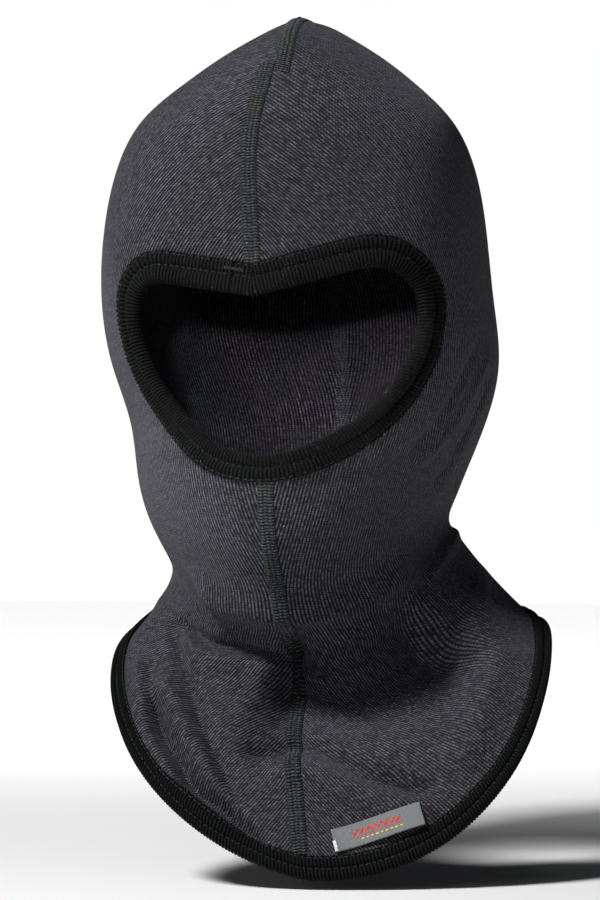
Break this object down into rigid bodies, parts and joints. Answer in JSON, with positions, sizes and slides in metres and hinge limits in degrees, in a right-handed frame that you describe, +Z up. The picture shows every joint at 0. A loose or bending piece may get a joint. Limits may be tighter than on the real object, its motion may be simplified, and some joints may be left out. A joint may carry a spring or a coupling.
{
  "type": "balaclava",
  "caption": "Knitted balaclava with a heart-topped face opening, flatlock seams, ribbed tape edges and a bib that covers the neck, with a folded hem label and a care label inside.",
  "frame": {"origin": "the crown of the hood, in the thickness of the cloth, where it rests on top of the wearer's head", "axes": "+Z up out of the crown, -Y out of the face opening, +X towards the wearer's left"},
  "size_m": [0.1924, 0.2235, 0.3542],
  "materials": {
    "jersey": "matte melange rib jersey",
    "rib_tape": "matte black rib knit",
    "seam_thread": "matte textured polyester",
    "tape_thread": "matte textured polyester",
    "woven_label": "satin woven",
    "satin_label": "satin printed"
  },
  "bodies": {
    "balaclava": {"left_panel": "jersey", "right_panel": "jersey", "brow_seam_cover_thread": "seam_thread", "brow_seam_looper_thread": "seam_thread", "brow_seam_needle_threads": "seam_thread", "back_seam_cover_thread": "seam_thread", "back_seam_looper_thread": "seam_thread", "back_seam_needle_threads": "seam_thread", "chin_seam_cover_thread": "seam_thread", "chin_seam_looper_thread": "seam_thread", "chin_seam_needle_threads": "seam_thread", "face_binding_tape": "rib_tape", "face_binding_needle_threads": "tape_thread", "face_binding_looper_thread": "tape_thread", "face_binding_join_tack": "tape_thread", "hem_binding_tape": "rib_tape", "hem_binding_needle_threads": "tape_thread", "hem_binding_looper_thread": "tape_thread", "hem_binding_join_tack": "tape_thread", "care_label_tack": "tape_thread"},
    "hem_label_flap": {"hem_label": "woven_label"},
    "care_label_flap": {"care_label": "satin_label"}
  },
  "joints": [
    {"name": "hem_label_lift", "type": "hinge", "parent": "balaclava", "child": "hem_label_flap", "pos_m": [0.04959, -0.10546, -0.33625], "axis": [0.9476, 0.1797, 0.2642], "range_deg": [0, 100]},
    {"name": "care_label_swing", "type": "hinge", "parent": "balaclava", "child": "care_label_flap", "pos_m": [0.00746, 0.06759, -0.23217], "axis": [-1, 0, 0], "range_deg": [0, 95]}
  ]
}
